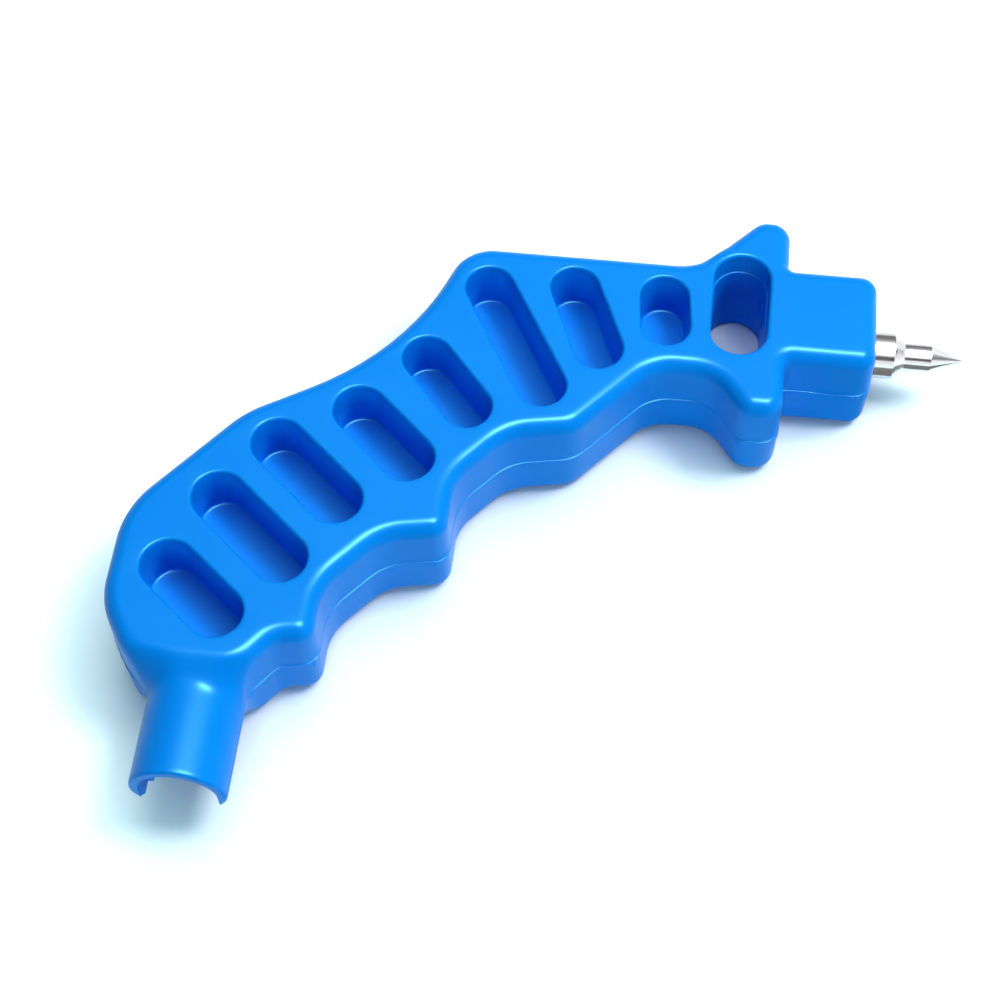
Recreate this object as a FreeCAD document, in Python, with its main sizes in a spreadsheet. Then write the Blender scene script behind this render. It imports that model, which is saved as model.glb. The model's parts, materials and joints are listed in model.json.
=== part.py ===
# Hole punch for soft irrigation pipe, with a pusher socket for seating drippers and plugs.
# Two pieces: a one-piece moulded handle, and a turned steel punch that the handle is moulded around.
# Working frame: the tool lies on its side, the punch axis runs along X, X = 0 is the end face of the
# head block, Y = 0 is the punch axis and Z = 0 is the underside. Placements then carry both pieces to
# the part's own frame, whose origin is under the middle of the bounding box. Sizes are millimetres.
import FreeCAD, Part
import math
import os
import Sketcher

V = FreeCAD.Vector
doc = FreeCAD.newDocument("pipe_hole_punch")
sheet = doc.addObject("Spreadsheet::Sheet", "sizes")


class Size:
    """A number, kept together with the formula that the document works it out from."""

    def __init__(self, formula, number):
        self.formula = formula
        self.number = number

    def __add__(self, other):
        other = asSize(other)
        return Size("(%s + %s)" % (self.formula, other.formula), self.number + other.number)

    def __sub__(self, other):
        other = asSize(other)
        return Size("(%s - %s)" % (self.formula, other.formula), self.number - other.number)

    def __mul__(self, factor):
        return Size("(%s * %s)" % (self.formula, factor), self.number * factor)

    def __truediv__(self, factor):
        return Size("(%s / %s)" % (self.formula, factor), self.number / factor)

    def __neg__(self):
        return Size("(0 - %s)" % self.formula, -self.number)


def asSize(value):
    return value if isinstance(value, Size) else Size(str(value), value)


class Sizes:
    """The sheet's cells as Size objects: sizes.thickness is the cell with the alias thickness."""

    def add(self, **entries):
        for alias, value in entries.items():
            row = len(vars(self)) + 1
            sheet.set("A%d" % row, alias)
            sheet.set("B%d" % row, str(value))
            sheet.setAlias("B%d" % row, alias)
            setattr(self, alias, Size("sizes." + alias, value))


sizes = Sizes()

# ---------------------------------------------------------------- driving dimensions
sizes.add(                      # moulded handle
    thickness=14.0,
    edge_round=2.0,
    pocket_depth=6.4,
    grip_pocket_width=6.4,
    head_pocket_width=6.0,
    pocket_draft=2.5,
    pocket_rim_round=0.5,
)
sizes.add(                      # head block around the punch
    block_length=11.0,
    block_width=14.0,
    block_corner=2.2,
    block_root_round=0.8,
)
sizes.add(                      # guard fins beside the block
    fin_back_y=14.4,
    fin_front_y=-15.1,
    fin_back_foot_x=-15.1,
    fin_front_foot_x=-15.8,
    fin_tip_round=2.5,
)
sizes.add(                      # hanging slot, wider above its step
    slot_x=-16.9,
    slot_y=0.4,
    slot_length=8.0,
    slot_width=6.9,
    slot_angle=89.3,
    slot_step_depth=3.2,
    slot_step=0.15,
)
sizes.add(                      # shoulder, neck and pusher socket
    shoulder_y=-53.4,
    shoulder_length=6.0,
    shoulder_left_step=3.4,
    shoulder_right=-67.8,
    shoulder_inset=0.05,
    neck_x=-74.5,
    neck_radius=5.5,
    neck_foot_drop=3.1,
    neck_end_y=-67.4,
    socket_radius=4.15,
    socket_inner_radius=3.6,
    socket_mouth_length=1.8,
    socket_length=9.4,
)
sizes.add(                      # steel punch
    punch_y=-0.3,
    punch_radius=1.8,
    punch_length=3.3,
    point_length=4.2,
    collar_radius=3.0,
    collar_length=2.9,
    collar_cone=1.1,
    shank_length=10.0,
    groove_radius=2.2,
    groove_length=2.0,
    flute_count=12,
    flute_depth=0.4,
    flute_width=1.2,
)
sizes.add(                      # handle outline: corners between the tangents, and their arcs
    little_hollow_x=-66.0, little_hollow_y=-51.05, little_hollow_round=2.9,
    ridge1_x=-61.8, ridge1_y=-50.5, ridge1_round=2.2,
    ring_hollow1_y=-43.7, ring_hollow1_round=7.0,
    ring_hollow2_x=-56.0, ring_hollow2_y=-36.8, ring_hollow2_round=6.9,
    ridge2_x=-48.7, ridge2_y=-35.5, ridge2_round=2.3,
    middle_hollow1_y=-27.9, middle_hollow1_round=7.0,
    middle_hollow2_x=-43.15, middle_hollow2_y=-21.3, middle_hollow2_round=7.0,
    ridge3_x=-35.5, ridge3_y=-19.9, ridge3_round=4.8,
    index_hollow_y=-9.85, index_hollow1_x=-26.8, index_hollow1_round=5.7,
    index_hollow2_x=-19.6, index_hollow2_round=5.1,
    back_y=6.5, fin_back_hollow_x=-22.4, fin_back_hollow_round=6.5,
    palm_crest_x=-51.6, palm_crest_round=5.6,
    thumb_hollow_x=-57.9, thumb_hollow_y=-10.5, thumb_hollow_round=34.0,
    heel_x=-75.1, heel_y=-21.1, heel_round=13.0,
    butt_x=-86.65, butt_top_y=-35.7, butt_top_round=12.0,
    butt_bottom_y=-48.1, butt_bottom_round=10.0,
)
sizes.add(                      # cored pockets, the same on both faces; length is between end arcs
    pocket1_x=-76.35, pocket1_y=-45.9, pocket1_length=8.3, pocket1_angle=-39.5,
    pocket2_x=-71.35, pocket2_y=-37.3, pocket2_length=11.1, pocket2_angle=-40.8,
    pocket3_x=-66.05, pocket3_y=-29.1, pocket3_length=10.5, pocket3_angle=-41.5,
    pocket4_x=-57.85, pocket4_y=-23.0, pocket4_length=8.9, pocket4_angle=-43.0,
    pocket5_x=-51.35, pocket5_y=-14.9, pocket5_length=8.6, pocket5_angle=-49.5,
    pocket6_x=-43.95, pocket6_y=-7.2, pocket6_length=16.0, pocket6_angle=-60.8,
    pocket7_x=-35.55, pocket7_y=-3.6, pocket7_length=9.5, pocket7_angle=-67.6,
    pocket8_x=-26.05, pocket8_y=-1.6, pocket8_length=4.3, pocket8_angle=-84.5,
)
doc.recompute()
mid_height = sizes.thickness / 2
shoulder_left = sizes.butt_x + sizes.shoulder_left_step

# ---------------------------------------------------------------- sketch helpers


def newSketch(body, name, plane, offset=None):
    """A sketch on one of the body's own planes, moved along that plane's normal by offset."""
    sketch = body.newObject("Sketcher::SketchObject", name)
    support = [f for f in body.Origin.OriginFeatures if f.Role == plane][0]
    sketch.AttachmentSupport = [(support, "")]
    sketch.MapMode = "FlatFace"
    if offset is not None:
        sketch.AttachmentOffset = FreeCAD.Placement(V(0, 0, offset.number), FreeCAD.Rotation())
        sketch.setExpression("AttachmentOffset.Base.z", offset.formula)
    return sketch


def dimension(sketch, kind, geometry, size, name, unit=""):
    """Add a constraint that holds a size, and bind it to the size's formula."""
    number = math.radians(size.number) if kind == "Angle" else size.number
    index = sketch.addConstraint(Sketcher.Constraint(kind, *geometry, number))
    sketch.renameConstraint(index, name)
    sketch.setExpression("Constraints." + name, size.formula + unit)


def placePoint(sketch, geometry, point, x, y, name):
    dimension(sketch, "DistanceX", (-1, 1, geometry, point), x, name + "_x")
    dimension(sketch, "DistanceY", (-1, 1, geometry, point), y, name + "_y")


def addOutline(sketch, corners):
    """A closed loop of lines. A corner is (name, x, y, radius), with None for a sharp corner.

    The loop runs anticlockwise. A rounded corner's point is where its two lines would meet.
    """
    count = len(corners)
    points = [V(asSize(x).number, asSize(y).number, 0) for name, x, y, radius in corners]
    starts, ends, arcs = [], [], []
    for i, (name, x, y, radius) in enumerate(corners):
        before = (points[i - 1] - points[i]).normalize()
        after = (points[(i + 1) % count] - points[i]).normalize()
        if radius is None:
            ends.append(points[i])
            starts.append(points[i])
            arcs.append(None)
            continue
        half = before.getAngle(after) / 2
        reach = radius.number / math.tan(half)
        ends.append(points[i] + before * reach)
        starts.append(points[i] + after * reach)
        centre = points[i] + (before + after).normalize() * (radius.number / math.sin(half))
        turns_left = before.cross(after).z < 0
        first, last = (ends[i], starts[i]) if turns_left else (starts[i], ends[i])
        angles = [math.atan2(p.y - centre.y, p.x - centre.x) for p in (first, last)]
        arcs.append((Part.ArcOfCircle(Part.Circle(centre, V(0, 0, 1), radius.number), *angles), turns_left))
    lines = [sketch.addGeometry(Part.LineSegment(starts[i], ends[(i + 1) % count])) for i in range(count)]
    for i, (name, x, y, radius) in enumerate(corners):
        line_in, line_out = lines[i - 1], lines[i]
        if radius is None:
            sketch.addConstraint(Sketcher.Constraint("Coincident", line_in, 2, line_out, 1))
            placePoint(sketch, line_out, 1, asSize(x), asSize(y), name)
            continue
        curve, turns_left = arcs[i]
        arc = sketch.addGeometry(curve)
        arc_in, arc_out = (1, 2) if turns_left else (2, 1)
        sketch.addConstraint(Sketcher.Constraint("Tangent", line_in, 2, arc, arc_in))
        sketch.addConstraint(Sketcher.Constraint("Tangent", arc, arc_out, line_out, 1))
        dimension(sketch, "Radius", (arc,), radius, name + "_round")
        corner = sketch.addGeometry(Part.Point(points[i]), True)
        sketch.addConstraint(Sketcher.Constraint("PointOnObject", corner, 1, line_in))
        sketch.addConstraint(Sketcher.Constraint("PointOnObject", corner, 1, line_out))
        placePoint(sketch, corner, 1, asSize(x), asSize(y), name)


def addSlot(sketch, name, x, y, length, angle, width):
    """A round-ended slot about its centre; length is between the centres of its end arcs."""
    turn = math.radians(angle.number)
    along = V(math.cos(turn), math.sin(turn), 0)
    side = V(-along.y, along.x, 0)
    centre = V(x.number, y.number, 0)
    half = length.number / 2
    radius = width.number / 2
    right = centre + along * half
    left = centre - along * half
    low = sketch.addGeometry(Part.LineSegment(left - side * radius, right - side * radius))
    high = sketch.addGeometry(Part.LineSegment(right + side * radius, left + side * radius))
    quarter = math.pi / 2
    cap1 = sketch.addGeometry(
        Part.ArcOfCircle(Part.Circle(right, V(0, 0, 1), radius), turn - quarter, turn + quarter))
    cap2 = sketch.addGeometry(
        Part.ArcOfCircle(Part.Circle(left, V(0, 0, 1), radius), turn + quarter, turn + 3 * quarter))
    for first, last in ((low, cap1), (cap1, high), (high, cap2), (cap2, low)):
        sketch.addConstraint(Sketcher.Constraint("Tangent", first, 2, last, 1))
    sketch.addConstraint(Sketcher.Constraint("Equal", cap1, cap2))
    middle = sketch.addGeometry(Part.Point(centre), True)
    sketch.addConstraint(Sketcher.Constraint("Symmetric", cap1, 3, cap2, 3, middle, 1))
    placePoint(sketch, middle, 1, x, y, name)
    dimension(sketch, "Radius", (cap1,), width / 2, name + "_width")
    dimension(sketch, "Distance", (cap1, 3, cap2, 3), length, name + "_length")
    dimension(sketch, "Angle", (low,), angle, name + "_angle", " * 1 deg")


def addFeature(body, kind, name, sketch, **settings):
    """A PartDesign feature on a sketch; a setting that is a Size is bound to its formula."""
    feature = body.newObject("PartDesign::" + kind, name)
    feature.Profile = sketch
    for key, value in settings.items():
        if isinstance(value, Size):
            setattr(feature, key, value.number)
            feature.setExpression(key, value.formula)
        else:
            setattr(feature, key, value)
    doc.recompute()
    return feature


def cutFeature(body, kind, name, sketch, **settings):
    """A feature that has to take material away."""
    before = body.Shape.Volume
    feature = addFeature(body, kind, name, sketch, **settings)
    if body.Shape.Volume > before - 0.01:
        raise ValueError("%s cuts nothing" % name)
    return feature


def roundEdges(body, name, edges, radius):
    base = body.Tip
    fillet = body.newObject("PartDesign::Fillet", name)
    fillet.Base = (base, edges)
    fillet.Radius = radius.number
    fillet.setExpression("Radius", radius.formula)
    doc.recompute()
    return fillet


def edgesWhere(shape, test):
    return ["Edge%d" % (i + 1) for i, edge in enumerate(shape.Edges) if test(edge)]


def rimEdges(shape, height):
    """Names of the edges round the holes in the flat face at one height."""
    faces = [face for face in shape.Faces if face.BoundBox.ZLength < 1e-4
             and abs(face.BoundBox.ZMin - height.number) < 1e-4]
    face = max(faces, key=lambda each: each.Area)
    rims = [edge for wire in face.Wires if not wire.isSame(face.OuterWire) for edge in wire.Edges]
    return edgesWhere(shape, lambda edge: any(edge.isSame(rim) for rim in rims))


# ---------------------------------------------------------------- steel punch
# Turned in one piece about its own X axis, which the placement lifts to the middle of the handle.


def makePunch():
    body = doc.addObject("PartDesign::Body", "punch")
    sketch = newSketch(body, "punch_profile", "XY_Plane")
    cone_start = sizes.collar_length
    land_start = cone_start + sizes.collar_cone
    point_start = land_start + sizes.punch_length
    tip = point_start + sizes.point_length
    collar = sizes.collar_radius
    groove = sizes.groove_radius
    step = sizes.groove_length
    corners = [
        ("shank_axis", -sizes.shank_length, 0),
        ("tip", tip, 0),
        ("point_start", point_start, sizes.punch_radius),
        ("land_start", land_start, sizes.punch_radius),
        ("cone_start", cone_start, collar),
        ("groove1_front", -step, collar),
        ("groove1_foot", -step, groove),
        ("groove1_heel", -step * 2, groove),
        ("groove1_back", -step * 2, collar),
        ("groove2_front", -step * 3, collar),
        ("groove2_foot", -step * 3, groove),
        ("groove2_heel", -step * 4, groove),
        ("groove2_back", -step * 4, collar),
        ("shank_end", -sizes.shank_length, collar),
    ]
    addOutline(sketch, [(name, x, y, None) for name, x, y in corners])
    addFeature(body, "Revolution", "turned_punch", sketch, ReferenceAxis=(sketch, ["H_Axis"]), Angle=360)
    # flutes along the shank keep it from turning in the plastic
    flute = newSketch(body, "flute_profile", "YZ_Plane", -sizes.shank_length)
    outside = collar + sizes.flute_depth
    addOutline(flute, [
        ("flute_right", sizes.flute_width / 2, outside, None),
        ("flute_left", -sizes.flute_width / 2, outside, None),
        ("flute_foot", 0, collar - sizes.flute_depth, None),
    ])
    cut = cutFeature(body, "Pocket", "flute", flute, Length=sizes.shank_length - step, Reversed=True)
    ring = body.newObject("PartDesign::PolarPattern", "flutes")
    ring.Originals = [cut]
    ring.Axis = (flute, ["N_Axis"])
    ring.Angle = 360
    ring.Occurrences = int(sizes.flute_count.number)
    ring.setExpression("Occurrences", sizes.flute_count.formula)
    body.Tip = ring
    doc.recompute()
    return body


# ---------------------------------------------------------------- moulded handle


def handleCorners():
    z = sizes
    half_block = z.block_width / 2
    return [
        ("shoulder_right", z.shoulder_right, z.shoulder_y, None),
        ("little_hollow", z.little_hollow_x, z.little_hollow_y, z.little_hollow_round),
        ("ridge1", z.ridge1_x, z.ridge1_y, z.ridge1_round),
        ("ring_hollow1", z.ridge1_x, z.ring_hollow1_y, z.ring_hollow1_round),
        ("ring_hollow2", z.ring_hollow2_x, z.ring_hollow2_y, z.ring_hollow2_round),
        ("ridge2", z.ridge2_x, z.ridge2_y, z.ridge2_round),
        ("middle_hollow1", z.ridge2_x, z.middle_hollow1_y, z.middle_hollow1_round),
        ("middle_hollow2", z.middle_hollow2_x, z.middle_hollow2_y, z.middle_hollow2_round),
        ("ridge3", z.ridge3_x, z.ridge3_y, z.ridge3_round),
        ("index_hollow1", z.index_hollow1_x, z.index_hollow_y, z.index_hollow1_round),
        ("index_hollow2", z.index_hollow2_x, z.index_hollow_y, z.index_hollow2_round),
        ("fin_front_foot", z.fin_front_foot_x, z.fin_front_y, z.fin_tip_round),
        ("fin_front_tip", -z.block_length, z.fin_front_y, z.fin_tip_round),
        ("block_front_root", -z.block_length, -half_block, z.block_root_round),
        ("block_front", 0, -half_block, z.block_corner),
        ("block_back", 0, half_block, z.block_corner),
        ("block_back_root", -z.block_length, half_block, z.block_root_round),
        ("fin_back_tip", -z.block_length, z.fin_back_y, z.fin_tip_round),
        ("fin_back_foot", z.fin_back_foot_x, z.fin_back_y, z.fin_tip_round),
        ("fin_back_hollow", z.fin_back_hollow_x, z.back_y, z.fin_back_hollow_round),
        ("palm_crest", z.palm_crest_x, z.back_y, z.palm_crest_round),
        ("thumb_hollow", z.thumb_hollow_x, z.thumb_hollow_y, z.thumb_hollow_round),
        ("heel", z.heel_x, z.heel_y, z.heel_round),
        ("butt_top", z.butt_x, z.butt_top_y, z.butt_top_round),
        ("butt_bottom", z.butt_x, z.butt_bottom_y, z.butt_bottom_round),
        ("shoulder_left", shoulder_left, z.shoulder_y, None),
    ]


def pocketSketch(body, name, height):
    sketch = newSketch(body, name, "XY_Plane", height)
    for number in range(1, 9):
        place = [getattr(sizes, "pocket%d_%s" % (number, part)) for part in ("x", "y", "length", "angle")]
        width = sizes.grip_pocket_width if number < 5 else sizes.head_pocket_width
        addSlot(sketch, "pocket%d" % number, *place, width)
    return sketch


def neckSection(body, name, travel, left, right, top, foot, top_round, foot_round):
    """A section of the neck: a rectangle with rounded corners, across the handle."""
    y = sizes.shoulder_y - travel
    sketch = newSketch(body, name, "XZ_Plane", -y)
    addOutline(sketch, [
        ("foot_left", left, foot, foot_round),
        ("foot_right", right, foot, foot_round),
        ("top_right", right, top, top_round),
        ("top_left", left, top, top_round),
    ])
    return sketch


def addNeck(body):
    """The shoulder narrows and lowers the handle to a round neck, in seven sections."""
    z = sizes
    neck_left = z.neck_x - z.neck_radius
    neck_right = z.neck_x + z.neck_radius
    drop = mid_height - z.neck_radius
    rise = mid_height - z.neck_foot_drop
    rounding_share = 0.98       # a narrow flat stays between two corner roundings, so no line has zero length
    full_round = z.neck_radius * rounding_share
    foot_round = z.neck_foot_drop * rounding_share
    # travel along the neck, then how far the left side, right side and top have moved, from 0 to 1
    stations = [(0, 0, 0, 0), (0.15, 0.19, 0.5, 0.1), (0.3, 0.38, 0.8, 0.45), (0.45, 0.57, 0.96, 0.85),
                (0.6, 0.76, 1, 1), (0.8, 0.95, 1, 1), (1, 1, 1, 1)]
    slant = 1.35                # the slab's edge rounding looks wider where the end face cuts it at a slant
    first_round = z.edge_round * slant
    sections = []
    for number, (travel, in_left, in_right, down) in enumerate(stations):
        inset = z.shoulder_inset * (1 - down)
        sections.append(neckSection(
            body, "neck_section%d" % (number + 1), z.shoulder_length * travel,
            shoulder_left + inset + (neck_left - shoulder_left) * in_left,
            z.shoulder_right - inset + (neck_right - z.shoulder_right) * in_right,
            z.thickness - inset - drop * down,
            inset + rise * down,
            first_round + (full_round - first_round) * down,
            first_round + (foot_round - first_round) * down))
    addFeature(body, "AdditiveLoft", "shoulder", sections[0], Sections=sections[1:])
    neck = neckSection(body, "neck_round", z.shoulder_length, neck_left, neck_right,
                       z.thickness - drop, rise, full_round, foot_round)
    addFeature(body, "Pad", "neck", neck, Length=z.shoulder_y - z.shoulder_length - z.neck_end_y)


def cutSocket(body, name, radius, depth):
    """An arched channel in from the neck's end, open underneath: a slot that runs on below the neck."""
    sketch = newSketch(body, name + "_profile", "XZ_Plane", -sizes.neck_end_y)
    addSlot(sketch, name, sizes.neck_x, mid_height - sizes.thickness / 2, sizes.thickness, asSize(90), radius * 2)
    cutFeature(body, "Pocket", name, sketch, Length=depth)


def makeHandleBody():
    z = sizes
    body = doc.addObject("PartDesign::Body", "handle_blank")
    outline = newSketch(body, "handle_outline", "XY_Plane")
    addOutline(outline, handleCorners())
    addFeature(body, "Pad", "slab", outline, Length=z.thickness)
    end_y = z.shoulder_y.number

    def onOutline(edge):
        box = edge.BoundBox
        flat = box.ZMax - box.ZMin < 1e-4
        at_shoulder = box.YMax - box.YMin < 1e-4 and abs(box.YMax - end_y) < 1e-4
        return flat and not at_shoulder
    roundEdges(body, "edge_rounding", edgesWhere(body.Shape, onOutline), z.edge_round)
    addNeck(body)

    face_pockets = pocketSketch(body, "top_pocket_outlines", z.thickness)
    cutFeature(body, "Pocket", "top_pockets", face_pockets, Length=z.pocket_depth, TaperAngle=-z.pocket_draft)
    under_pockets = pocketSketch(body, "under_pocket_outlines", asSize(0))
    cutFeature(body, "Pocket", "under_pockets", under_pockets, Length=z.pocket_depth,
               TaperAngle=-z.pocket_draft, Reversed=True)

    through = newSketch(body, "slot_outline", "XY_Plane", z.thickness)
    addSlot(through, "slot", z.slot_x, z.slot_y, z.slot_length, z.slot_angle, z.slot_width - z.slot_step * 2)
    cutFeature(body, "Pocket", "hanging_slot", through, Type="ThroughAll")
    step = newSketch(body, "slot_step_outline", "XY_Plane", z.thickness)
    addSlot(step, "slot_step", z.slot_x, z.slot_y, z.slot_length, z.slot_angle, z.slot_width)
    cutFeature(body, "Pocket", "slot_step", step, Length=z.slot_step_depth)

    for name, height in (("top_rims", z.thickness), ("under_rims", asSize(0))):
        roundEdges(body, name, rimEdges(body.Shape, height), z.pocket_rim_round)

    cutSocket(body, "socket_channel", z.socket_inner_radius, z.socket_length)
    cutSocket(body, "socket_mouth", z.socket_radius, z.socket_mouth_length)
    return body


punch = makePunch()
punch.Placement.Base.z = mid_height.number
handle_blank = makeHandleBody()

# The plastic fills the punch's grooves and flutes, so the seat is the punch's own shape.
handle = doc.addObject("Part::Cut", "handle")
handle.Base = handle_blank
handle.Tool = punch

# ---------------------------------------------------------------- the part's own frame
tip_x = sizes.collar_length + sizes.collar_cone + sizes.punch_length + sizes.point_length
shift_x = -(tip_x + sizes.butt_x) / 2
shift_y = -(sizes.fin_back_y + sizes.neck_end_y) / 2
for body, y, lift in ((punch, shift_y + sizes.punch_y, mid_height), (handle_blank, shift_y, asSize(0))):
    for axis, size in (("x", shift_x), ("y", y), ("z", lift)):
        body.setExpression("Placement.Base." + axis, size.formula)
punch.Label = "punch"
handle.Label = "handle"
doc.recompute()

# ---------------------------------------------------------------- checks and export
for thing in doc.Objects:
    if "Invalid" in thing.State or "Error" in thing.State:
        raise ValueError("%s did not compute: %s" % (thing.Label, thing.State))
os.makedirs("parts", exist_ok=True)
for piece in (handle, punch):
    shape = piece.Shape
    if shape.isNull() or not shape.isValid() or len(shape.Solids) != 1:
        raise ValueError("%s is not one valid solid" % piece.Label)
    shape.exportStep("parts/%s.step" % piece.Label)
    box = shape.BoundBox
    print("%-8s volume %9.1f mm3, from (%.2f, %.2f, %.2f) to (%.2f, %.2f, %.2f)" % (
        piece.Label, shape.Volume, box.XMin, box.YMin, box.ZMin, box.XMax, box.YMax, box.ZMax))
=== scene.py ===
# Hand punch for soft irrigation pipe: a moulded grip handle with a turned steel punch set in its head.
import json

import bmesh
import bpy
import numpy as np
from mathutils import Matrix, Vector
from mathutils.geometry import delaunay_2d_cdt


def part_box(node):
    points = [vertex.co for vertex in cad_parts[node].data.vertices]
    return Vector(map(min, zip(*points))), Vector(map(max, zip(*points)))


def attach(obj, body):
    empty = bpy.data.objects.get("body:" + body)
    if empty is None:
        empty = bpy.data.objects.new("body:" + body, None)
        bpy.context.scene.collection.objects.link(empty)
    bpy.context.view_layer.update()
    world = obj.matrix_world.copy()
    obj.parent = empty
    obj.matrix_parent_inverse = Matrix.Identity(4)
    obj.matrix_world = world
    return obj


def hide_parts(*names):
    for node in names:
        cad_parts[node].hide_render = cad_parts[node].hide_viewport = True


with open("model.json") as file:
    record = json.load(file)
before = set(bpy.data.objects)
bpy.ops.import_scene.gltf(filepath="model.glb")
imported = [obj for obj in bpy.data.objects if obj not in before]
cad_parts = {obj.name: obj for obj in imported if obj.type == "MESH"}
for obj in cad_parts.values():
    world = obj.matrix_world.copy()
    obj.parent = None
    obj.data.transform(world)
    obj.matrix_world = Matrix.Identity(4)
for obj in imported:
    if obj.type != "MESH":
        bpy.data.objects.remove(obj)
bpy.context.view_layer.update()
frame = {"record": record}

mm = 0.001
handleHigh = np.array(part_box("handle")[1]) / mm
mounts = {mount["name"]: np.array(mount["pos_m"]) / mm for mount in frame["record"]["mounts"]}

topZ = handleHigh[2]                                    # upper face of the slab
partingZ = topZ / 2                                     # plane where the two mould halves meet
blockFace = np.array([handleHigh[0], mounts["underside"][1]])    # middle of the head's front face, in plan
punchY = mounts["punch_land"][1]                        # the punch sits a little off that middle


def gridFaces(rows, columns, closed=False):
    # quads between neighbouring rows and columns; a closed grid joins its last column to the first
    row = np.arange(rows - 1)[:, None]
    column = np.arange(columns if closed else columns - 1)[None, :]
    after = (column + 1) % columns
    here, below = row * columns, (row + 1) * columns
    corners = np.broadcast_arrays(here + column, here + after, below + after, below + column)
    return np.stack([corner.ravel() for corner in corners], axis=1)


def joinSurfaces(surfaces):
    # stacks (points, faces) pairs into one list of points and one of faces
    points, faces, count = [], [], 0
    for surfacePoints, surfaceFaces in surfaces:
        points.append(surfacePoints)
        faces += [[int(index) + count for index in face] for face in surfaceFaces]
        count += len(surfacePoints)
    return np.concatenate(points), faces


def makeMesh(name, points, faces):
    # points are in millimetres; doubles are merged so that the seams close, and faces point outwards
    mesh = bpy.data.meshes.new(name)
    mesh.from_pydata((points * mm).tolist(), [], faces)
    solid = bmesh.new()
    solid.from_mesh(mesh)
    bmesh.ops.remove_doubles(solid, verts=solid.verts, dist=2e-7)
    bmesh.ops.dissolve_degenerate(solid, edges=solid.edges, dist=1e-7)
    bmesh.ops.recalc_face_normals(solid, faces=solid.faces)
    openEdges = sum(1 for edge in solid.edges if len(edge.link_faces) != 2)
    solid.to_mesh(mesh)
    solid.free()
    piece = bpy.data.objects.new(name, mesh)
    bpy.context.scene.collection.objects.link(piece)
    print(f"{name}: {len(mesh.polygons)} faces, {openEdges} open edges")
    return piece


def cutAway(piece, cutters):
    # takes the cutters out of the piece, and keeps only the cut mesh
    for cutter in cutters:
        step = piece.modifiers.new("cut", "BOOLEAN")
        step.operation, step.solver, step.object = "DIFFERENCE", "EXACT", cutter
    graph = bpy.context.evaluated_depsgraph_get()
    cutMesh = bpy.data.meshes.new_from_object(piece.evaluated_get(graph))
    piece.modifiers.clear()
    piece.data = cutMesh
    for cutter in cutters:
        bpy.data.objects.remove(cutter)
    print(f"{piece.name}: cut, {len(cutMesh.polygons)} faces")


def smoothShade(piece, angle):
    # smooth shading up to the angle; flat faces keep their own normal against the roundings beside them
    piece.data.shade_smooth()
    piece.data.set_sharp_from_angle(angle=angle)
    weighted = piece.modifiers.new("flat faces", "WEIGHTED_NORMAL")
    weighted.keep_sharp = True


def smoothStep(value, start, end):
    # 0 before the start, 1 past the end, and an S curve of 3 t^2 - 2 t^3 between them
    t = np.clip((value - start) / (end - start), 0, 1)
    return t * t * (3 - 2 * t)


handleShape = {                     # millimetres
    "edgeRound": 2.0,               # rounding of the slab's upper and lower edges
    "wallDraft": 0.10,              # how far the side wall leans in, up to the rounding
    "mouldShift": (0.05, -0.12),    # how far the lower mould half sits from the upper one
    "ledge": 0.03,                  # half height of the step at the parting plane
    "neckRadius": 5.5,
    "neckDrop": 3.1,                # depth of the neck below the parting plane
    "shoulderStart": -53.4,         # where the slab starts to fall towards the neck
    "shoulderEnd": -57.0,
    "neckStart": -58.0,             # from here to the mouth the neck's section stays the same
    "mouthRound": 0.35,
    "arcStep": 4.0,                 # degrees between points on an arc
    "lineStep": 0.5,                # spacing of points on a straight stretch
    "roundPoints": 13,              # points across a rounding of the edge
    "wallPoints": 4,                # points up each half of the side wall
    "slotLand": 0.05,               # least flat between the edge's rounding and the slot's rim
    "sharpAngle": 38.0,             # degrees; edges that turn more than this stay crisp
}

outlineCorners = [                  # x, y from the middle of the head's face, and the arc's radius
    (-69.0, -67.4, 0.0),            # right side of the neck's mouth
    (-69.0, -58.0, 0.0),
    (-69.0, -55.0, 4.0),
    (-66.0, -51.05, 2.9),           # little finger
    (-61.8, -50.5, 2.2),
    (-61.8, -43.7, 7.0),            # ring finger
    (-56.0, -36.8, 6.9),
    (-48.7, -35.5, 2.3),
    (-48.7, -27.9, 7.0),            # middle finger
    (-43.15, -21.3, 7.0),
    (-35.5, -19.9, 4.8),
    (-26.8, -9.85, 5.7),            # index finger
    (-19.6, -9.85, 5.1),
    (-15.8, -15.1, 2.5),            # front guard
    (-11.0, -15.1, 2.5),
    (-11.0, -7.0, 0.8),
    (0.0, -7.0, 2.2),               # head block
    (0.0, 7.0, 2.2),
    (-11.0, 7.0, 0.8),
    (-11.0, 14.4, 2.5),             # rear guard
    (-15.1, 14.4, 2.5),
    (-22.4, 6.5, 6.5),
    (-51.6, 6.5, 5.6),              # palm
    (-57.9, -10.5, 34.0),
    (-75.1, -21.1, 13.0),           # heel
    (-86.65, -35.7, 12.0),
    (-86.65, -48.1, 10.0),
    (-83.25, -53.4, 9.0),
    (-80.0, -56.7, 2.5),
    (-80.0, -58.0, 0.0),
    (-80.0, -67.4, 0.0),            # left side of the neck's mouth
]

shoulderGrid = {                    # inner points that let the shoulder's face curve, in millimetres
    "left": -84.0,
    "right": -64.0,
    "across": 0.7,
    "along": 0.3,
    "clear": 0.3,                   # how far they keep from the face's edge
}

pocketShape = {                     # millimetres and degrees
    "depth": 6.4,
    "draft": 2.5,
    "rimRound": 0.4,
    "floorRound": 0.35,
    "gripWidth": 6.4,
    "headWidth": 6.0,
    "ringPoints": 48,               # points round each end of a pocket
    "floorRows": 4,
}

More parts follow.
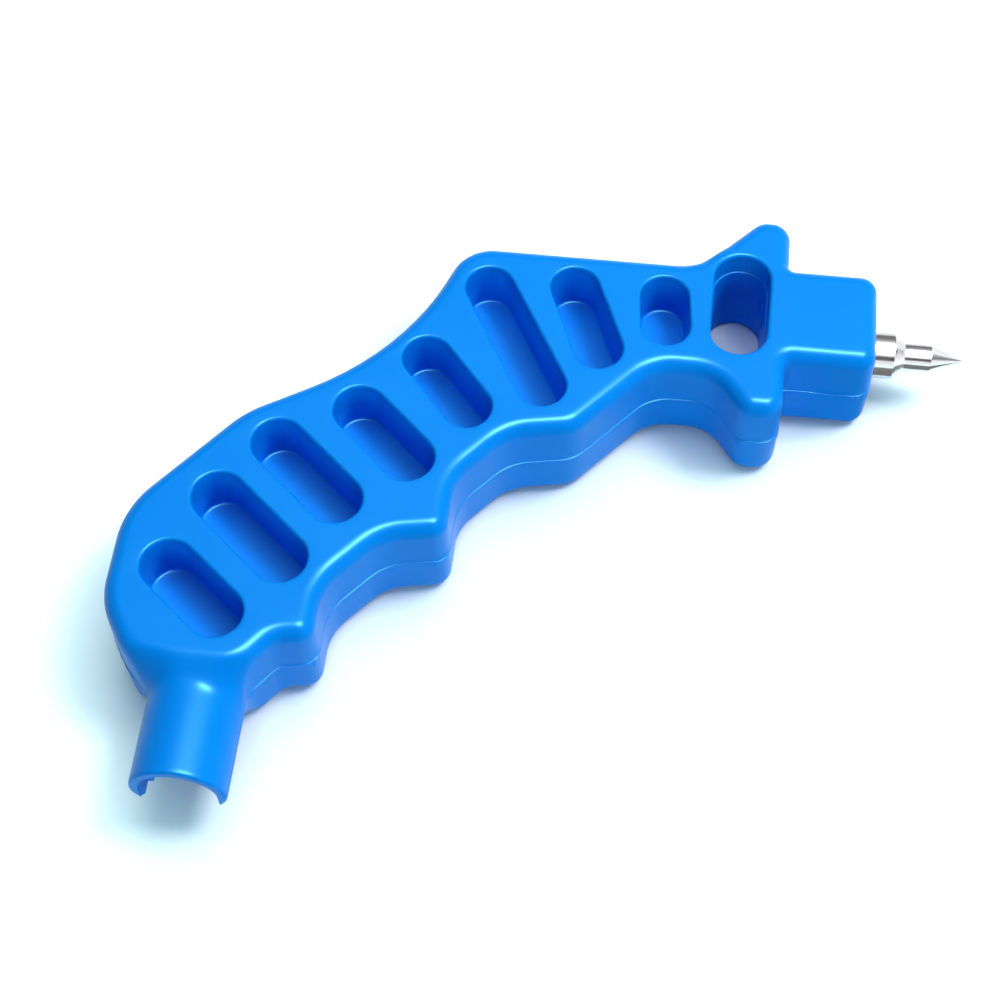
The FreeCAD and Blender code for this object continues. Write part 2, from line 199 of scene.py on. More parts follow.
pockets = [                         # centre x, y, distance between the end arcs' centres, angle, width
    (-76.35, -45.9, 8.3, -39.5, "gripWidth"),
    (-71.35, -37.3, 11.1, -40.8, "gripWidth"),
    (-66.05, -29.1, 10.5, -41.5, "gripWidth"),
    (-57.85, -23.0, 8.9, -43.0, "gripWidth"),
    (-51.35, -14.9, 8.6, -49.5, "headWidth"),
    (-43.95, -7.2, 16.0, -60.8, "headWidth"),
    (-35.55, -3.6, 9.5, -67.6, "headWidth"),
    (-26.05, -1.6, 4.3, -84.5, "headWidth"),
]

slotShape = {                       # the hanging slot goes right through
    "centre": (-16.9, 0.4),
    "length": 8.0,
    "angle": 89.3,
    "width": 6.9,
    "lowerWidth": 6.6,
    "stepDepth": 3.2,
    "ledgeRound": 0.05,
    "rimRound": 0.5,
}

flashShape = {                      # plastic that crept between the mould halves, in millimetres
    "trace": 0.02,
    "patches": [                    # x, y, spread, height
        (-4.0, -7.0, 2.4, 0.30),
        (-48.9, -35.6, 1.2, 0.45),
        (-60.9, -49.5, 1.0, 0.25),
        (-83.6, -52.6, 2.2, 0.10),
        (-0.2, 3.0, 2.0, 0.15),
    ],
}


def roundedLine(corners, arcStep, lineStep):
    # an open line whose corners are arcs: each corner's arc touches both of its sides, at
    # radius * tan(half the turn) from the corner. Returns points and outward normals.
    corners = np.array(corners)
    points, radii = corners[:, :2], corners[:, 2]
    sides = np.diff(points, axis=0)
    lengths = np.linalg.norm(sides, axis=1)
    ways = sides / lengths[:, None]
    linePoints, lineNormals = [], []
    reach = np.zeros(len(points))
    turns = np.zeros(len(points))
    crossed = ways[:-1, 0] * ways[1:, 1] - ways[:-1, 1] * ways[1:, 0]
    turns[1:-1] = np.arctan2(crossed, (ways[:-1] * ways[1:]).sum(1))
    reach[1:-1] = radii[1:-1] * np.tan(np.abs(turns[1:-1]) / 2)
    for side, way in enumerate(ways):
        straight = lengths[side] - reach[side] - reach[side + 1]
        steps = max(1, int(np.ceil(straight / lineStep)))
        along = reach[side] + straight * np.linspace(0, 1, steps + 1)
        linePoints.append(points[side] + along[:, None] * way)
        lineNormals.append(np.tile([way[1], -way[0]], (steps + 1, 1)))
        turn = turns[side + 1]
        if side == len(ways) - 1 or turn == 0:
            continue
        radius = radii[side + 1] * np.sign(turn)
        outward = np.array([way[1], -way[0]])
        centre = linePoints[-1][-1] - outward * radius
        steps = max(2, int(np.ceil(abs(np.degrees(turn)) / arcStep)))
        swing = turn * np.arange(1, steps)[:, None] / steps
        normals = np.hstack([outward[0] * np.cos(swing) - outward[1] * np.sin(swing),
                             outward[0] * np.sin(swing) + outward[1] * np.cos(swing)])
        linePoints.append(centre + normals * radius)
        lineNormals.append(normals)
    return np.concatenate(linePoints), np.concatenate(lineNormals)


def upperFace(y):
    # height of the top surface: flat, then a smooth fall of the shoulder to the crown of the neck
    crown = partingZ + handleShape["neckRadius"]
    return topZ + (crown - topZ) * smoothStep(y, handleShape["shoulderStart"], handleShape["shoulderEnd"])


def lowerFace(y):
    # height of the underside: level, then a smooth rise of the shoulder to the neck's flat sole
    sole = partingZ - handleShape["neckDrop"]
    return sole * smoothStep(y, handleShape["shoulderStart"], handleShape["shoulderEnd"])


def distanceToSlot(points):
    # distance from each point to the straight line between the slot's end arcs' centres
    turn = np.radians(slotShape["angle"])
    way = np.array([np.cos(turn), np.sin(turn)])
    away = points - np.array(slotShape["centre"])
    along = np.clip(away @ way, -slotShape["length"] / 2, slotShape["length"] / 2)
    return np.linalg.norm(away - along[:, None] * way, axis=1)


def flashReach(line):
    # how far the thin flash stands out at the seam: a trace everywhere, and a few ragged patches, each
    # a bell curve about its place, broken up by two waves along the outline
    run = np.concatenate([[0], np.cumsum(np.linalg.norm(np.diff(line, axis=0), axis=1))])
    ragged = 0.5 + 0.3 * np.sin(run * 5.1) + 0.2 * np.sin(run * 11.7)
    reach = np.full(len(line), flashShape["trace"])
    for x, y, spread, height in flashShape["patches"]:
        away = np.linalg.norm(line - (x, y), axis=1)
        reach += height * np.exp(-(away / spread) ** 2) * ragged
    return reach


def sideStrip(line, normals):
    # the profile of the edge carried round the outline: lower rounding, lower wall, the small step of
    # the parting plane, upper wall, upper rounding. Each rounding is radius * (1 - cos a) in from the
    # wall and radius * (1 - sin a) short of the face; its radius grows from the slab's to the neck's.
    shape = handleShape
    blend = smoothStep(line[:, 1], shape["shoulderStart"], shape["neckStart"])[:, None]
    # Beside the hanging slot the rounding is narrower, so that it stops short of the slot's rim.
    slotReach = slotShape["width"] / 2 + slotShape["rimRound"] + shape["slotLand"]
    edgeRound = np.minimum(shape["edgeRound"], distanceToSlot(line) - slotReach)[:, None]
    upperRadius = edgeRound + (shape["neckRadius"] - edgeRound) * blend
    lowerRadius = edgeRound + (shape["neckDrop"] - edgeRound) * blend
    swing = np.radians(np.linspace(0, 90, shape["roundPoints"]))[None, :]
    wall = np.linspace(0, 1, shape["wallPoints"])[None, :-1]
    draft = shape["wallDraft"] * (1 - blend)

    def half(radius, face, side, shift):
        inset = np.hstack([draft * wall, draft + (radius - draft) * (1 - np.cos(swing))])
        place = line[:, None, :] - normals[:, None, :] * inset[:, :, None] + shift
        height = face(place[:, :, 1])
        rise = np.hstack([np.zeros_like(draft * wall), np.ones_like(draft) * np.sin(swing)])
        curveZ = height - side * radius * (1 - rise)
        startZ = partingZ + side * shape["ledge"]
        wallEnd = curveZ[:, wall.shape[1]][:, None]
        curveZ[:, :wall.shape[1]] = startZ + (wallEnd - startZ) * wall
        return np.dstack([place, side * np.maximum(side * curveZ, side * startZ)])

    shift = np.array(shape["mouldShift"])
    lower = half(lowerRadius, lowerFace, -1, shift * (1 - blend[:, :, None]))
    upper = half(upperRadius, upperFace, 1, np.zeros(2))
    seam = (lower[:, :1] + upper[:, :1]) / 2
    seam[:, 0, :2] += normals * flashReach(line)[:, None]
    return np.hstack([lower[:, ::-1], seam, upper])


def mouthRings(column, way):
    # rounds the neck's end: each ring is the end column drawn in towards the neck's middle
    radius = handleShape["mouthRound"]
    neckMiddle = np.array([column[-1, 0], column[0, 1], partingZ])
    swing = np.radians([30, 60, 90])
    drawn = 1 - radius * (1 - np.cos(swing)) / handleShape["neckRadius"]
    rings = neckMiddle + (column[None] - neckMiddle) * drawn[:, None, None]
    rings[:, :, 1] = column[None, :, 1] - radius * np.sin(swing)[:, None]
    rings[:, 0, 2] = column[0, 2]           # the sole stays level out to the end
    return rings[::way]


def stadium(centre, length, angle, points):
    # ring round a straight slot: where its middle line is, and the way out from it, at each point
    half = np.radians(np.linspace(-90, 90, points))
    firstEnd = np.column_stack([np.cos(half), np.sin(half)])
    ways = np.vstack([firstEnd, -firstEnd])
    ends = np.repeat([[length / 2, 0.0], [-length / 2, 0.0]], points, axis=0)
    turn = np.radians(angle)
    rotate = np.array([[np.cos(turn), -np.sin(turn)], [np.sin(turn), np.cos(turn)]])
    return ends @ rotate.T + centre + blockFace, ways @ rotate.T


def ringSurface(spine, ways, profile):
    # a profile of (distance out, height) rows carried round a stadium
    flat = spine[None] + ways[None] * profile[:, 0][:, None, None]
    height = np.broadcast_to(profile[:, 1][:, None, None], (len(profile), len(spine), 1))
    points = np.concatenate([flat, height], axis=2).reshape(-1, 3)
    return points, gridFaces(len(profile), len(spine), closed=True)


def arcProfile(centre, radius, start, end, steps=7):
    # rows of (distance out, height) along an arc between two angles in degrees
    swing = np.radians(np.linspace(start, end, steps))
    return np.column_stack([centre[0] + radius * np.cos(swing), centre[1] + radius * np.sin(swing)])


def pocketProfile(width):
    # rounded rim, leaning wall, rounded floor corner, then the floor drawn in to the middle line
    shape = pocketShape
    rimRound, rows = shape["rimRound"], shape["floorRows"]
    rim = arcProfile((width / 2 + rimRound, topZ - rimRound), rimRound, 90, 180)
    floorZ = topZ - shape["depth"]
    footZ = floorZ + shape["floorRound"]
    footOut = width / 2 - (rim[-1, 1] - footZ) * np.tan(np.radians(shape["draft"]))
    foot = arcProfile((footOut - shape["floorRound"], footZ), shape["floorRound"], 0, -90)
    floor = np.column_stack([np.linspace(foot[-1, 0], 0, rows)[1:], np.full(rows - 1, floorZ)])
    return np.vstack([rim, foot, floor])


def slotProfile():
    # rounded rim, wide upper wall, a small ledge, narrower wall, rounded lower rim
    shape = slotShape
    rimRound, ledgeRound = shape["rimRound"], shape["ledgeRound"]
    upper, lower = shape["width"] / 2, shape["lowerWidth"] / 2
    ledgeZ = topZ - shape["stepDepth"]
    return np.vstack([
        arcProfile((upper + rimRound, topZ - rimRound), rimRound, 90, 180),
        arcProfile((upper - ledgeRound, ledgeZ + ledgeRound), ledgeRound, 0, -90, 3),
        arcProfile((lower + ledgeRound, ledgeZ - ledgeRound), ledgeRound, 90, 180, 4),
        arcProfile((lower + rimRound, rimRound), rimRound, 180, 270),
    ])


def faceCap(edge, holes, height):
    # a face between its outer edge and the rims of its holes, split into triangles; the shoulder gets
    # rows of inner points so that it can curve. height(y) lifts the points.
    loops = [edge] + [spine + ways * out for spine, ways, out in holes]
    points = np.concatenate(loops)
    borders, start = [], 0
    for loop in loops:
        index = np.arange(len(loop))
        borders += np.column_stack([start + index, start + (index + 1) % len(loop)]).tolist()
        start += len(loop)
    grid = shoulderGrid
    firstRow = handleShape["neckStart"] - grid["along"]
    lastRow = handleShape["shoulderStart"] + 2 * grid["along"]
    rowY = blockFace[1] + np.arange(firstRow, lastRow, grid["along"])
    rowX = blockFace[0] + np.arange(grid["left"], grid["right"], grid["across"])
    inner = np.stack(np.meshgrid(rowX, rowY), axis=2).reshape(-1, 2)
    gap = np.linalg.norm(inner[:, None] - edge[None], axis=2).min(1)
    inner = inner[gap > grid["clear"]]
    corners = [Vector(point) for point in np.vstack([points, inner]).tolist()]
    flat, _, faces, *_ = delaunay_2d_cdt(corners, borders, [], 1, 1e-6)
    flat = np.array(flat)
    faces = np.array([face for face in faces if len(face) == 3])
    middle = flat[faces].mean(axis=1)
    inside = np.ones(len(faces), bool)
    for spine, ways, out in holes:
        ends = spine[[0, len(spine) // 2]]
        run = ends[1] - ends[0]
        along = np.clip((middle - ends[0]) @ run / (run @ run), 0, 1)
        inside &= np.linalg.norm(middle - ends[0] - along[:, None] * run, axis=1) > out
    return np.column_stack([flat, height(flat[:, 1] - blockFace[1])]), faces[inside]


def makeHandle():
    # the edge strip, the neck's end, the pockets and the slot as surfaces, closed by the two faces
    line, normals = roundedLine(outlineCorners, handleShape["arcStep"], handleShape["lineStep"])
    strip = sideStrip(line, normals)
    strip[:, :, :2] += blockFace
    neckRows = line[:, 1] <= handleShape["neckStart"] + 1e-6
    strip = np.concatenate([mouthRings(strip[0], -1), strip, mouthRings(strip[-1], 1)])
    surfaces = [(strip.reshape(-1, 3), gridFaces(*strip.shape[:2]))]

    first, last = strip[0], strip[-1]
    ring = np.vstack([first, last[::-1]])
    hub = ring.mean(axis=0)
    index = np.arange(len(ring))
    fan = np.column_stack([index, (index + 1) % len(ring), np.full(len(ring), len(ring))])
    surfaces.append((np.vstack([ring, hub]), fan))

    holes = []
    for x, y, length, angle, kind in pockets:
        spine, ways = stadium((x, y), length, angle, pocketShape["ringPoints"])
        profile = pocketProfile(pocketShape[kind])
        surfaces.append(ringSurface(spine, ways, profile))
        profile = profile * (1, -1) + (0, topZ)
        surfaces.append(ringSurface(spine, ways, profile))
        holes.append((spine, ways, profile[0, 0]))
    slot = slotShape
    spine, ways = stadium(slot["centre"], slot["length"], slot["angle"], pocketShape["ringPoints"])
    profile = slotProfile()
    surfaces.append(ringSurface(spine, ways, profile))

    rim = len(mouthRings(first, 1))
    body = strip[rim:-rim]
    joined = np.flatnonzero(~neckRows)
    upperEdge = body[joined[0] - 1:joined[-1] + 1, -1, :2]
    surfaces.append(faceCap(upperEdge, holes + [(spine, ways, profile[0, 0])], upperFace))
    surfaces.append(faceCap(strip[:, 0, :2], holes + [(spine, ways, profile[-1, 0])], lowerFace))
    points, faces = joinSurfaces(surfaces)
    return makeMesh("handleShell", points, faces)


socketShape = {                     # the arched channel that holds a dripper while it is pushed in
    "mouthRadius": 4.15,
    "innerRadius": 3.6,
    "mouthDepth": 1.8,
    "depth": 9.4,
    "flare": 0.3,
    "stepRound": 0.15,
    "endRound": 0.4,
    "past": 2.0,                    # how far the cutter stands out past the mouth and the underside
    "archPoints": 41,
}


def makeSocketCutter():
    # an upside-down U (arch of the channel's radius, straight legs down past the neck) carried along the
    # channel; the mouth's edge flares in two short slopes, and the radius steps down once further in
    shape = socketShape
    mouth = outlineCorners[0][1]
    stations = np.array([                       # distance in from the mouth, radius
        (-shape["past"], shape["mouthRadius"] + shape["flare"]),
        (0.0, shape["mouthRadius"] + shape["flare"]),
        (0.5 * shape["flare"], shape["mouthRadius"] + 0.3 * shape["flare"]),
        (1.3 * shape["flare"], shape["mouthRadius"]),
        (shape["mouthDepth"], shape["mouthRadius"]),
        (shape["mouthDepth"] + shape["stepRound"], shape["innerRadius"]),
        (shape["depth"] - shape["endRound"], shape["innerRadius"]),
        (shape["depth"], shape["innerRadius"] - shape["endRound"]),
    ])
    swing = np.radians(np.linspace(180, 0, shape["archPoints"]))
    across = np.concatenate([[-1], np.cos(swing), [1]])
    up = np.concatenate([[0], np.sin(swing), [0]])
    legs = np.concatenate([[-1], np.zeros(len(swing)), [-1]]) * (partingZ + shape["past"])
    middle = (outlineCorners[0][0] + outlineCorners[-1][0]) / 2 + blockFace[0]
    points = np.stack([
        middle + across[None] * stations[:, 1:],
        np.broadcast_to(mouth + blockFace[1] + stations[:, :1], (len(stations), len(across))),
        partingZ + up[None] * stations[:, 1:] + legs[None],
    ], axis=2)
    faces = gridFaces(*points.shape[:2], closed=True).tolist()
    last = points.shape[0] * points.shape[1]
    faces += [list(range(points.shape[1])), list(range(last - points.shape[1], last))[::-1]]
    return makeMesh("socketCutter", points.reshape(-1, 3), faces)


punchShape = {                      # millimetres; from the block's face outwards, then the shank inwards
    "collarRadius": 3.0,
    "collarLength": 2.9,
    "collarEdge": 0.25,
    "coneLength": 1.1,
    "coneFoot": 2.1,
    "landRadius": 1.8,
    "landLength": 3.3,
    "pointLength": 4.2,
    "tipRadius": 0.06,
    "shankLength": 10.0,
    "grooveRadius": 2.2,
    "grooveLength": 2.0,
    "landStep": 0.02,               # the cone ends in a step of this length at the land
    "tipLength": 0.15,
    "toolMarks": 0.003,             # height of the marks on the cone
    "markRate": 26.0,               # radians of the marks' wave for each millimetre
    "spacing": 0.06,                # between rings of points
    "around": 128,
    "seatGap": 0.01,
    "sharpAngle": 28.0,
}


def latheSurface(profile, around):
    # a profile of (distance along the axis, radius) turned about the punch's axis
    turn = np.linspace(0, 2 * np.pi, around, endpoint=False)[None, :]
    along = np.broadcast_to(profile[:, :1], (len(profile), around))
    points = np.stack([blockFace[0] + along, punchY + profile[:, 1:] * np.cos(turn),
                       partingZ + profile[:, 1:] * np.sin(turn)], axis=2)
    return points.reshape(-1, 3), gridFaces(len(profile), around, closed=True)


def punchProfile(spare=0.0):
    # the punch's outline from the shank's end to the point, with fine tool marks on the cone
    shape = punchShape
    collar, land = shape["collarRadius"] + spare, shape["landRadius"] + spare
    foot, step, end = shape["grooveRadius"] + spare, shape["grooveLength"], shape["shankLength"]
    coneStart = shape["collarLength"]
    landStart = coneStart + shape["coneLength"]
    pointStart = landStart + shape["landLength"]
    tip = pointStart + shape["pointLength"]
    edge = shape["collarEdge"]
    corners = np.array([
        (-end, 0), (-end, collar),
        (-4 * step, collar), (-4 * step, foot), (-3 * step, foot), (-3 * step, collar),
        (-2 * step, collar), (-2 * step, foot), (-step, foot), (-step, collar),
        (coneStart - edge, collar), (coneStart, collar - edge * 0.6), (landStart, shape["coneFoot"]),
        (landStart + shape["landStep"], land), (pointStart, land),
        (tip - shape["tipLength"], shape["tipRadius"]), (tip, 0),
    ])
    sizes = np.linalg.norm(np.diff(corners, axis=0), axis=1)
    pieces = [np.linspace(a, b, max(1, int(size / shape["spacing"])), endpoint=False)
              for a, b, size in zip(corners[:-1], corners[1:], sizes)]
    profile = np.vstack(pieces + [corners[-1:]])
    along = profile[:, 0]
    onCone = (along > coneStart) & (along < landStart)
    marks = np.sin(along * shape["markRate"]) * shape["toolMarks"] * onCone
    profile[:, 1] = np.maximum(profile[:, 1] + marks, 0)
    return profile


print("punch")
punch = makeMesh("turnedPunch", *latheSurface(punchProfile(), punchShape["around"]))
punchSeat = makeMesh("punchSeat", *latheSurface(punchProfile(punchShape["seatGap"]), punchShape["around"]))
print("handle")
handle = makeHandle()
cutAway(handle, [makeSocketCutter(), punchSeat])


cameraShape = {
    "target": (-0.005525, -0.004308, 0.014),
    "distance": 0.21866,
    "azimuth": 7.5,
    "elevation": 58.75,
    "roll": -1.15,
    "lens": 68.33,
}


def makeCamera():
    # looks at the target from the azimuth and elevation, then turns about its own axis by the roll
    shape = cameraShape
    turn, rise, roll = np.radians([shape["azimuth"], shape["elevation"], shape["roll"]])
    look = Vector((-np.sin(turn) * np.cos(rise), np.cos(turn) * np.cos(rise), -np.sin(rise)))
    side = Vector((np.cos(turn), np.sin(turn), 0))
    up = side.cross(look)
    side, up = side * np.cos(roll) + up * np.sin(roll), up * np.cos(roll) - side * np.sin(roll)
    camera = bpy.data.objects.new("camera", bpy.data.cameras.new("camera"))
    camera.data.lens, camera.data.sensor_width = shape["lens"], 36
    camera.data.clip_start, camera.data.clip_end = 0.01, 20
    place = Vector(shape["target"]) - look * shape["distance"]
    camera.matrix_world = Matrix.Translation(place) @ Matrix((side, up, -look)).transposed().to_4x4()
    bpy.context.scene.collection.objects.link(camera)
    bpy.context.scene.camera = camera


makeCamera()


def addNode(tree, kind, place, **settings):
    # each setting goes to the input of that name, or else to the node's own property
    node = tree.nodes.new(kind)
    node.location = place
    for key, value in settings.items():
        if key in node.inputs:
            node.inputs[key].default_value = value
        else:
            setattr(node, key, value)
    return node


grainLook = {
    "Grain Size": 4000.0,
    "Grain Height": 0.02,
    "Sink Size": 90.0,
}


def makeGrainGroup():
    # fine grain of a spark-eroded mould, and soft unevenness where the plastic shrank as it cooled
    group = bpy.data.node_groups.new("mouldGrain", "ShaderNodeTree")
    for name, value in grainLook.items():
        socket = group.interface.new_socket(name, in_out="INPUT", socket_type="NodeSocketFloat")
        socket.default_value = value
    for name in ("Height", "Mottle"):
        group.interface.new_socket(name, in_out="OUTPUT", socket_type="NodeSocketFloat")
    entry = addNode(group, "NodeGroupInput", (-600, 0))
    leave = addNode(group, "NodeGroupOutput", (500, 0))
    place = addNode(group, "ShaderNodeTexCoord", (-600, 300))
    grain = addNode(group, "ShaderNodeTexNoise", (-300, 200), Detail=3.0, Roughness=0.6)
    sink = addNode(group, "ShaderNodeTexNoise", (-300, -100), Detail=2.0, Roughness=0.5)
    fine = addNode(group, "ShaderNodeMath", (0, 200), operation="MULTIPLY")
    both = addNode(group, "ShaderNodeMath", (200, 100), operation="ADD")
    link = group.links.new
    link(place.outputs["Object"], grain.inputs["Vector"])
    link(place.outputs["Object"], sink.inputs["Vector"])
    link(entry.outputs["Grain Size"], grain.inputs["Scale"])
    link(entry.outputs["Sink Size"], sink.inputs["Scale"])
    link(grain.outputs["Fac"], fine.inputs[0])
    link(entry.outputs["Grain Height"], fine.inputs[1])
    link(fine.outputs[0], both.inputs[0])
    link(sink.outputs["Fac"], both.inputs[1])
    link(both.outputs[0], leave.inputs["Height"])
    link(sink.outputs["Fac"], leave.inputs["Mottle"])
    return group


plasticLook = {
    "colour": (0.0, 0.212, 0.75, 1),
    "deepColour": (0.0, 0.198, 0.71, 1),
    "roughness": (0.27, 0.36),
    "specular": 0.12,
    "sheen": (0.22, 0.80, 1.0, 1),
    "bump": 0.10,
    "bumpDepth": 0.0002,
}


def makePlastic(grainGroup):
    # satin moulded plastic: the grain group varies its colour, its roughness and its surface
    look = plasticLook
    material = bpy.data.materials.new("handlePlastic")
    material.use_nodes = True
    tree = material.node_tree
    shader = tree.nodes["Principled BSDF"]
    shader.inputs["Specular IOR Level"].default_value = look["specular"]
    shader.inputs["Specular Tint"].default_value = look["sheen"]
    grain = addNode(tree, "ShaderNodeGroup", (-700, 0), node_tree=grainGroup)
    colour = addNode(tree, "ShaderNodeMix", (-400, 200), data_type="RGBA")
    colour.inputs[6].default_value, colour.inputs[7].default_value = look["deepColour"], look["colour"]
    rough = addNode(tree, "ShaderNodeMapRange", (-400, -50))
    rough.inputs["To Min"].default_value, rough.inputs["To Max"].default_value = look["roughness"]
    bump = addNode(tree, "ShaderNodeBump", (-200, -250), Strength=look["bump"], Distance=look["bumpDepth"])
    link = tree.links.new
    link(grain.outputs["Mottle"], colour.inputs[0])
    link(colour.outputs[2], shader.inputs["Base Color"])
    link(grain.outputs["Mottle"], rough.inputs["Value"])
    link(rough.outputs[0], shader.inputs["Roughness"])
    link(grain.outputs["Height"], bump.inputs["Height"])
    link(bump.outputs[0], shader.inputs["Normal"])
    return material


steelLook = {
    "colour": (0.80, 0.80, 0.81, 1),
    "roughness": (0.10, 0.24),
    "ringsPerMillimetre": 6.0,
    "bump": 0.12,
    "bumpDepth": 0.00003,
}


def makeSteel():
    # bright turned steel, with fine tool marks ringed about the punch's axis
    look = steelLook
    material = bpy.data.materials.new("punchSteel")
    material.use_nodes = True
    tree = material.node_tree
    shader = tree.nodes["Principled BSDF"]
    shader.inputs["Metallic"].default_value = 1.0
    shader.inputs["Base Color"].default_value = look["colour"]
    place = addNode(tree, "ShaderNodeTexCoord", (-900, 0))
    # Blender's wave bands repeat every 2 pi / 20 of a unit at a scale of 1
    waveScale = 2 * np.pi * look["ringsPerMillimetre"] / mm / 20
    rings = addNode(tree, "ShaderNodeTexWave", (-600, 0), wave_type="BANDS", bands_direction="X",
                    Scale=waveScale, Distortion=1.0, Detail=2.0)
    rings.inputs["Detail Scale"].default_value = 3.0
    rough = addNode(tree, "ShaderNodeMapRange", (-350, 100))
    rough.inputs["To Min"].default_value, rough.inputs["To Max"].default_value = look["roughness"]
    bump = addNode(tree, "ShaderNodeBump", (-300, -200), Strength=look["bump"], Distance=look["bumpDepth"])
    link = tree.links.new
    link(place.outputs["Object"], rings.inputs["Vector"])
    link(rings.outputs["Fac"], rough.inputs["Value"])
    link(rough.outputs[0], shader.inputs["Roughness"])
    link(rings.outputs["Fac"], bump.inputs["Height"])
    link(bump.outputs[0], shader.inputs["Normal"])
    return material


print("finishes")
handle.data.materials.clear()
handle.data.materials.append(makePlastic(makeGrainGroup()))
punch.data.materials.append(makeSteel())
smoothShade(handle, np.radians(handleShape["sharpAngle"]))
smoothShade(punch, np.radians(punchShape["sharpAngle"]))
for piece, node, slotName in ((handle, "handle", "handle_plastic"), (punch, "punch", "punch_steel")):
    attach(piece, "root")
    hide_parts(node)


studio = {                          # metres
    "floorSize": 4.0,
    "lowCard": 0.01,                # a card below this height lies flat on the floor
    "floorColour": (0.70, 0.76, 0.80, 1),
    # the glow's cyan shows mostly where the floor is in shadow: painted blue bounce light
    "glowAndBounceTint": (0.50, 0.92, 1.0, 1),
    "floorGlow": 0.78,
    "paintedShadeReach": 0.022,             # how near something has to be to dim the floor's glow, a painted shade near the tool
    "fillColour": (0.62, 0.82, 1.0, 1),
    "fillStrength": 0.06,
}

lamps = [                           # name, place, width, length, power, lights matt things, shows in gloss
    ("key", (0.30, 0.10, 0.50), 0.20, 0.20, 2.8, True, False),
    ("overhead", (0.02, 0.26, 0.60), 0.50, 0.50, 2.8, True, False),
    ("frontFill", (0.10, -0.70, 0.22), 0.50, 0.25, 2.0, True, False),
    ("softbox", (0.14, -0.01, 0.60), 0.14, 0.36, 38.0, False, True),
]

cards = [                           # seen only as reflections: name, place, width, height, grey
    ("rearCard", (-0.08, 0.44, 0.48), 0.80, 0.60, 0.10),
    ("frontCard", (0.03, -0.55, 0.40), 0.80, 0.28, 0.01),
    ("sideCard", (0.62, -0.08, 0.36), 0.50, 0.30, 0.12),
    # painted shadow: a grey card under the punch that stands for the floor it shades, seen only in
    # reflections
    ("punchShadowCard", (0.047, 0.004, 0.0004), 0.034, 0.034, 0.20),
]


def aimed(place):
    # turns a lamp or card to face the middle of the floor
    return Vector(place).to_track_quat("Z", "Y")


def rayMix(tree, place):
    # 1 for camera, glossy and transmission rays, and 0 for the rays that carry light between surfaces
    rays = addNode(tree, "ShaderNodeLightPath", place)
    first = addNode(tree, "ShaderNodeMath", (place[0] + 200, place[1]), operation="MAXIMUM")
    second = addNode(tree, "ShaderNodeMath", (place[0] + 400, place[1]), operation="MAXIMUM")
    tree.links.new(rays.outputs["Is Camera Ray"], first.inputs[0])
    tree.links.new(rays.outputs["Is Glossy Ray"], first.inputs[1])
    tree.links.new(first.outputs[0], second.inputs[0])
    tree.links.new(rays.outputs["Is Transmission Ray"], second.inputs[1])
    return second.outputs[0]


def makePanel(name, width, height, place=(0, 0, 0), turn=None):
    mesh = bpy.data.meshes.new(name)
    x, y = width / 2, height / 2
    mesh.from_pydata([(-x, -y, 0), (x, -y, 0), (x, y, 0), (-x, y, 0)], [], [(0, 1, 2, 3)])
    panel = bpy.data.objects.new(name, mesh)
    panel.location = place
    if turn:
        panel.rotation_mode, panel.rotation_quaternion = "QUATERNION", turn
    bpy.context.scene.collection.objects.link(panel)
    return panel


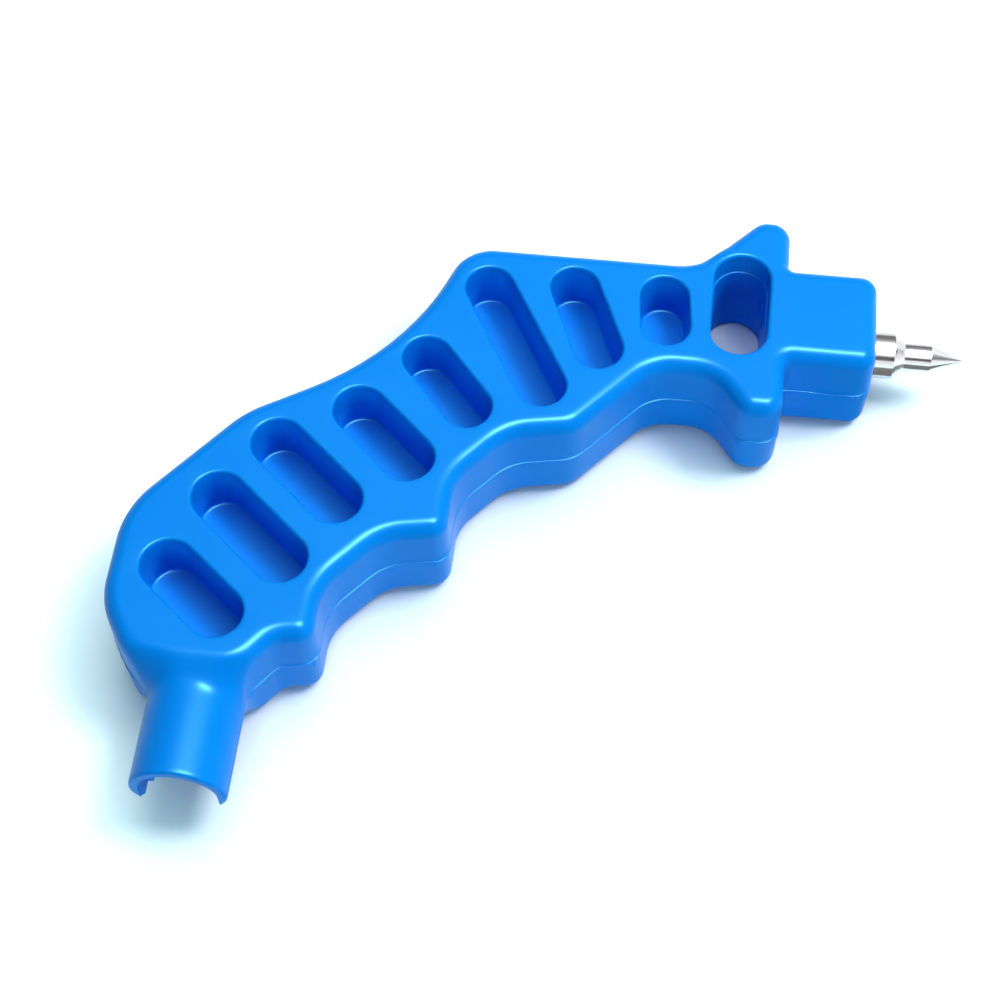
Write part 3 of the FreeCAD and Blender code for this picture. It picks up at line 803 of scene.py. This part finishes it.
def makeFloor():
    # pale floor: it takes the light and the shadow, and glows for the camera and in reflections so that
    # it reads white. The glow fades by the square of how open the floor is, so it is dim beneath the tool:
    # this is painted shade under and beside the tool.
    panel = makePanel("floor", studio["floorSize"], studio["floorSize"])
    material = bpy.data.materials.new("floor")
    material.use_nodes = True
    tree = material.node_tree
    tree.nodes.clear()
    matte = addNode(tree, "ShaderNodeBsdfDiffuse", (0, 200), Color=studio["floorColour"])
    # the glow's cyan tints the floor's shadows: painted bounce light from the blue plastic
    glow = addNode(tree, "ShaderNodeEmission", (0, 0), Color=studio["glowAndBounceTint"])
    amount = addNode(tree, "ShaderNodeMath", (-200, 0), operation="MULTIPLY")
    amount.inputs[1].default_value = studio["floorGlow"]
    # painted shade: the glow is cut by the square of the ambient occlusion, darkest under the tool
    openness = addNode(tree, "ShaderNodeAmbientOcclusion", (-500, -250), Distance=studio["paintedShadeReach"])
    paintedShadeFactor = addNode(tree, "ShaderNodeMath", (-300, -250), operation="MULTIPLY")
    shadedGlow = addNode(tree, "ShaderNodeMath", (-100, -150), operation="MULTIPLY")
    both = addNode(tree, "ShaderNodeAddShader", (200, 100))
    out = addNode(tree, "ShaderNodeOutputMaterial", (400, 100))
    tree.links.new(rayMix(tree, (-800, 0)), amount.inputs[0])
    tree.links.new(openness.outputs["AO"], paintedShadeFactor.inputs[0])
    tree.links.new(openness.outputs["AO"], paintedShadeFactor.inputs[1])
    tree.links.new(amount.outputs[0], shadedGlow.inputs[0])
    tree.links.new(paintedShadeFactor.outputs[0], shadedGlow.inputs[1])
    tree.links.new(shadedGlow.outputs[0], glow.inputs["Strength"])
    tree.links.new(matte.outputs[0], both.inputs[0])
    tree.links.new(glow.outputs[0], both.inputs[1])
    tree.links.new(both.outputs[0], out.inputs["Surface"])
    panel.data.materials.append(material)


def makeWorld():
    # white behind everything, and a weak pale blue fill for the light between surfaces
    world = bpy.data.worlds.new("studio")
    bpy.context.scene.world = world
    world.use_nodes = True
    tree = world.node_tree
    background = tree.nodes["Background"]
    colour = addNode(tree, "ShaderNodeMix", (-300, 100), data_type="RGBA")
    colour.inputs[6].default_value, colour.inputs[7].default_value = studio["fillColour"], (1, 1, 1, 1)
    strength = addNode(tree, "ShaderNodeMapRange", (-300, -150))
    strength.inputs["To Min"].default_value = studio["fillStrength"]
    strength.inputs["To Max"].default_value = 1.0
    seen = rayMix(tree, (-1000, 0))
    tree.links.new(seen, colour.inputs[0])
    tree.links.new(seen, strength.inputs["Value"])
    tree.links.new(colour.outputs[2], background.inputs["Color"])
    tree.links.new(strength.outputs[0], background.inputs["Strength"])


def makeLamps():
    for name, place, width, length, power, onMatt, inGloss in lamps:
        light = bpy.data.lights.new(name, "AREA")
        light.shape, light.size, light.size_y, light.energy = "RECTANGLE", width, length, power
        lamp = bpy.data.objects.new(name, light)
        lamp.location = place
        lamp.rotation_mode, lamp.rotation_quaternion = "QUATERNION", aimed(place)
        lamp.visible_diffuse, lamp.visible_glossy = onMatt, inGloss
        bpy.context.scene.collection.objects.link(lamp)


def makeCards():
    # plain grey panels that only reflections see
    for name, place, width, height, grey in cards:
        material = bpy.data.materials.new(name)
        material.use_nodes = True
        tree = material.node_tree
        tree.nodes.clear()
        glow = addNode(tree, "ShaderNodeEmission", (0, 0), Color=(grey, grey, grey, 1))
        out = addNode(tree, "ShaderNodeOutputMaterial", (200, 0))
        tree.links.new(glow.outputs[0], out.inputs["Surface"])
        turn = aimed(place) if place[2] > studio["lowCard"] else None
        card = makePanel(name, width, height, place, turn)
        card.data.materials.append(material)
        card.visible_camera = card.visible_diffuse = card.visible_shadow = False


print("studio")
makeFloor()
makeWorld()
makeLamps()
makeCards()
bpy.context.scene.view_settings.view_transform = "Standard"
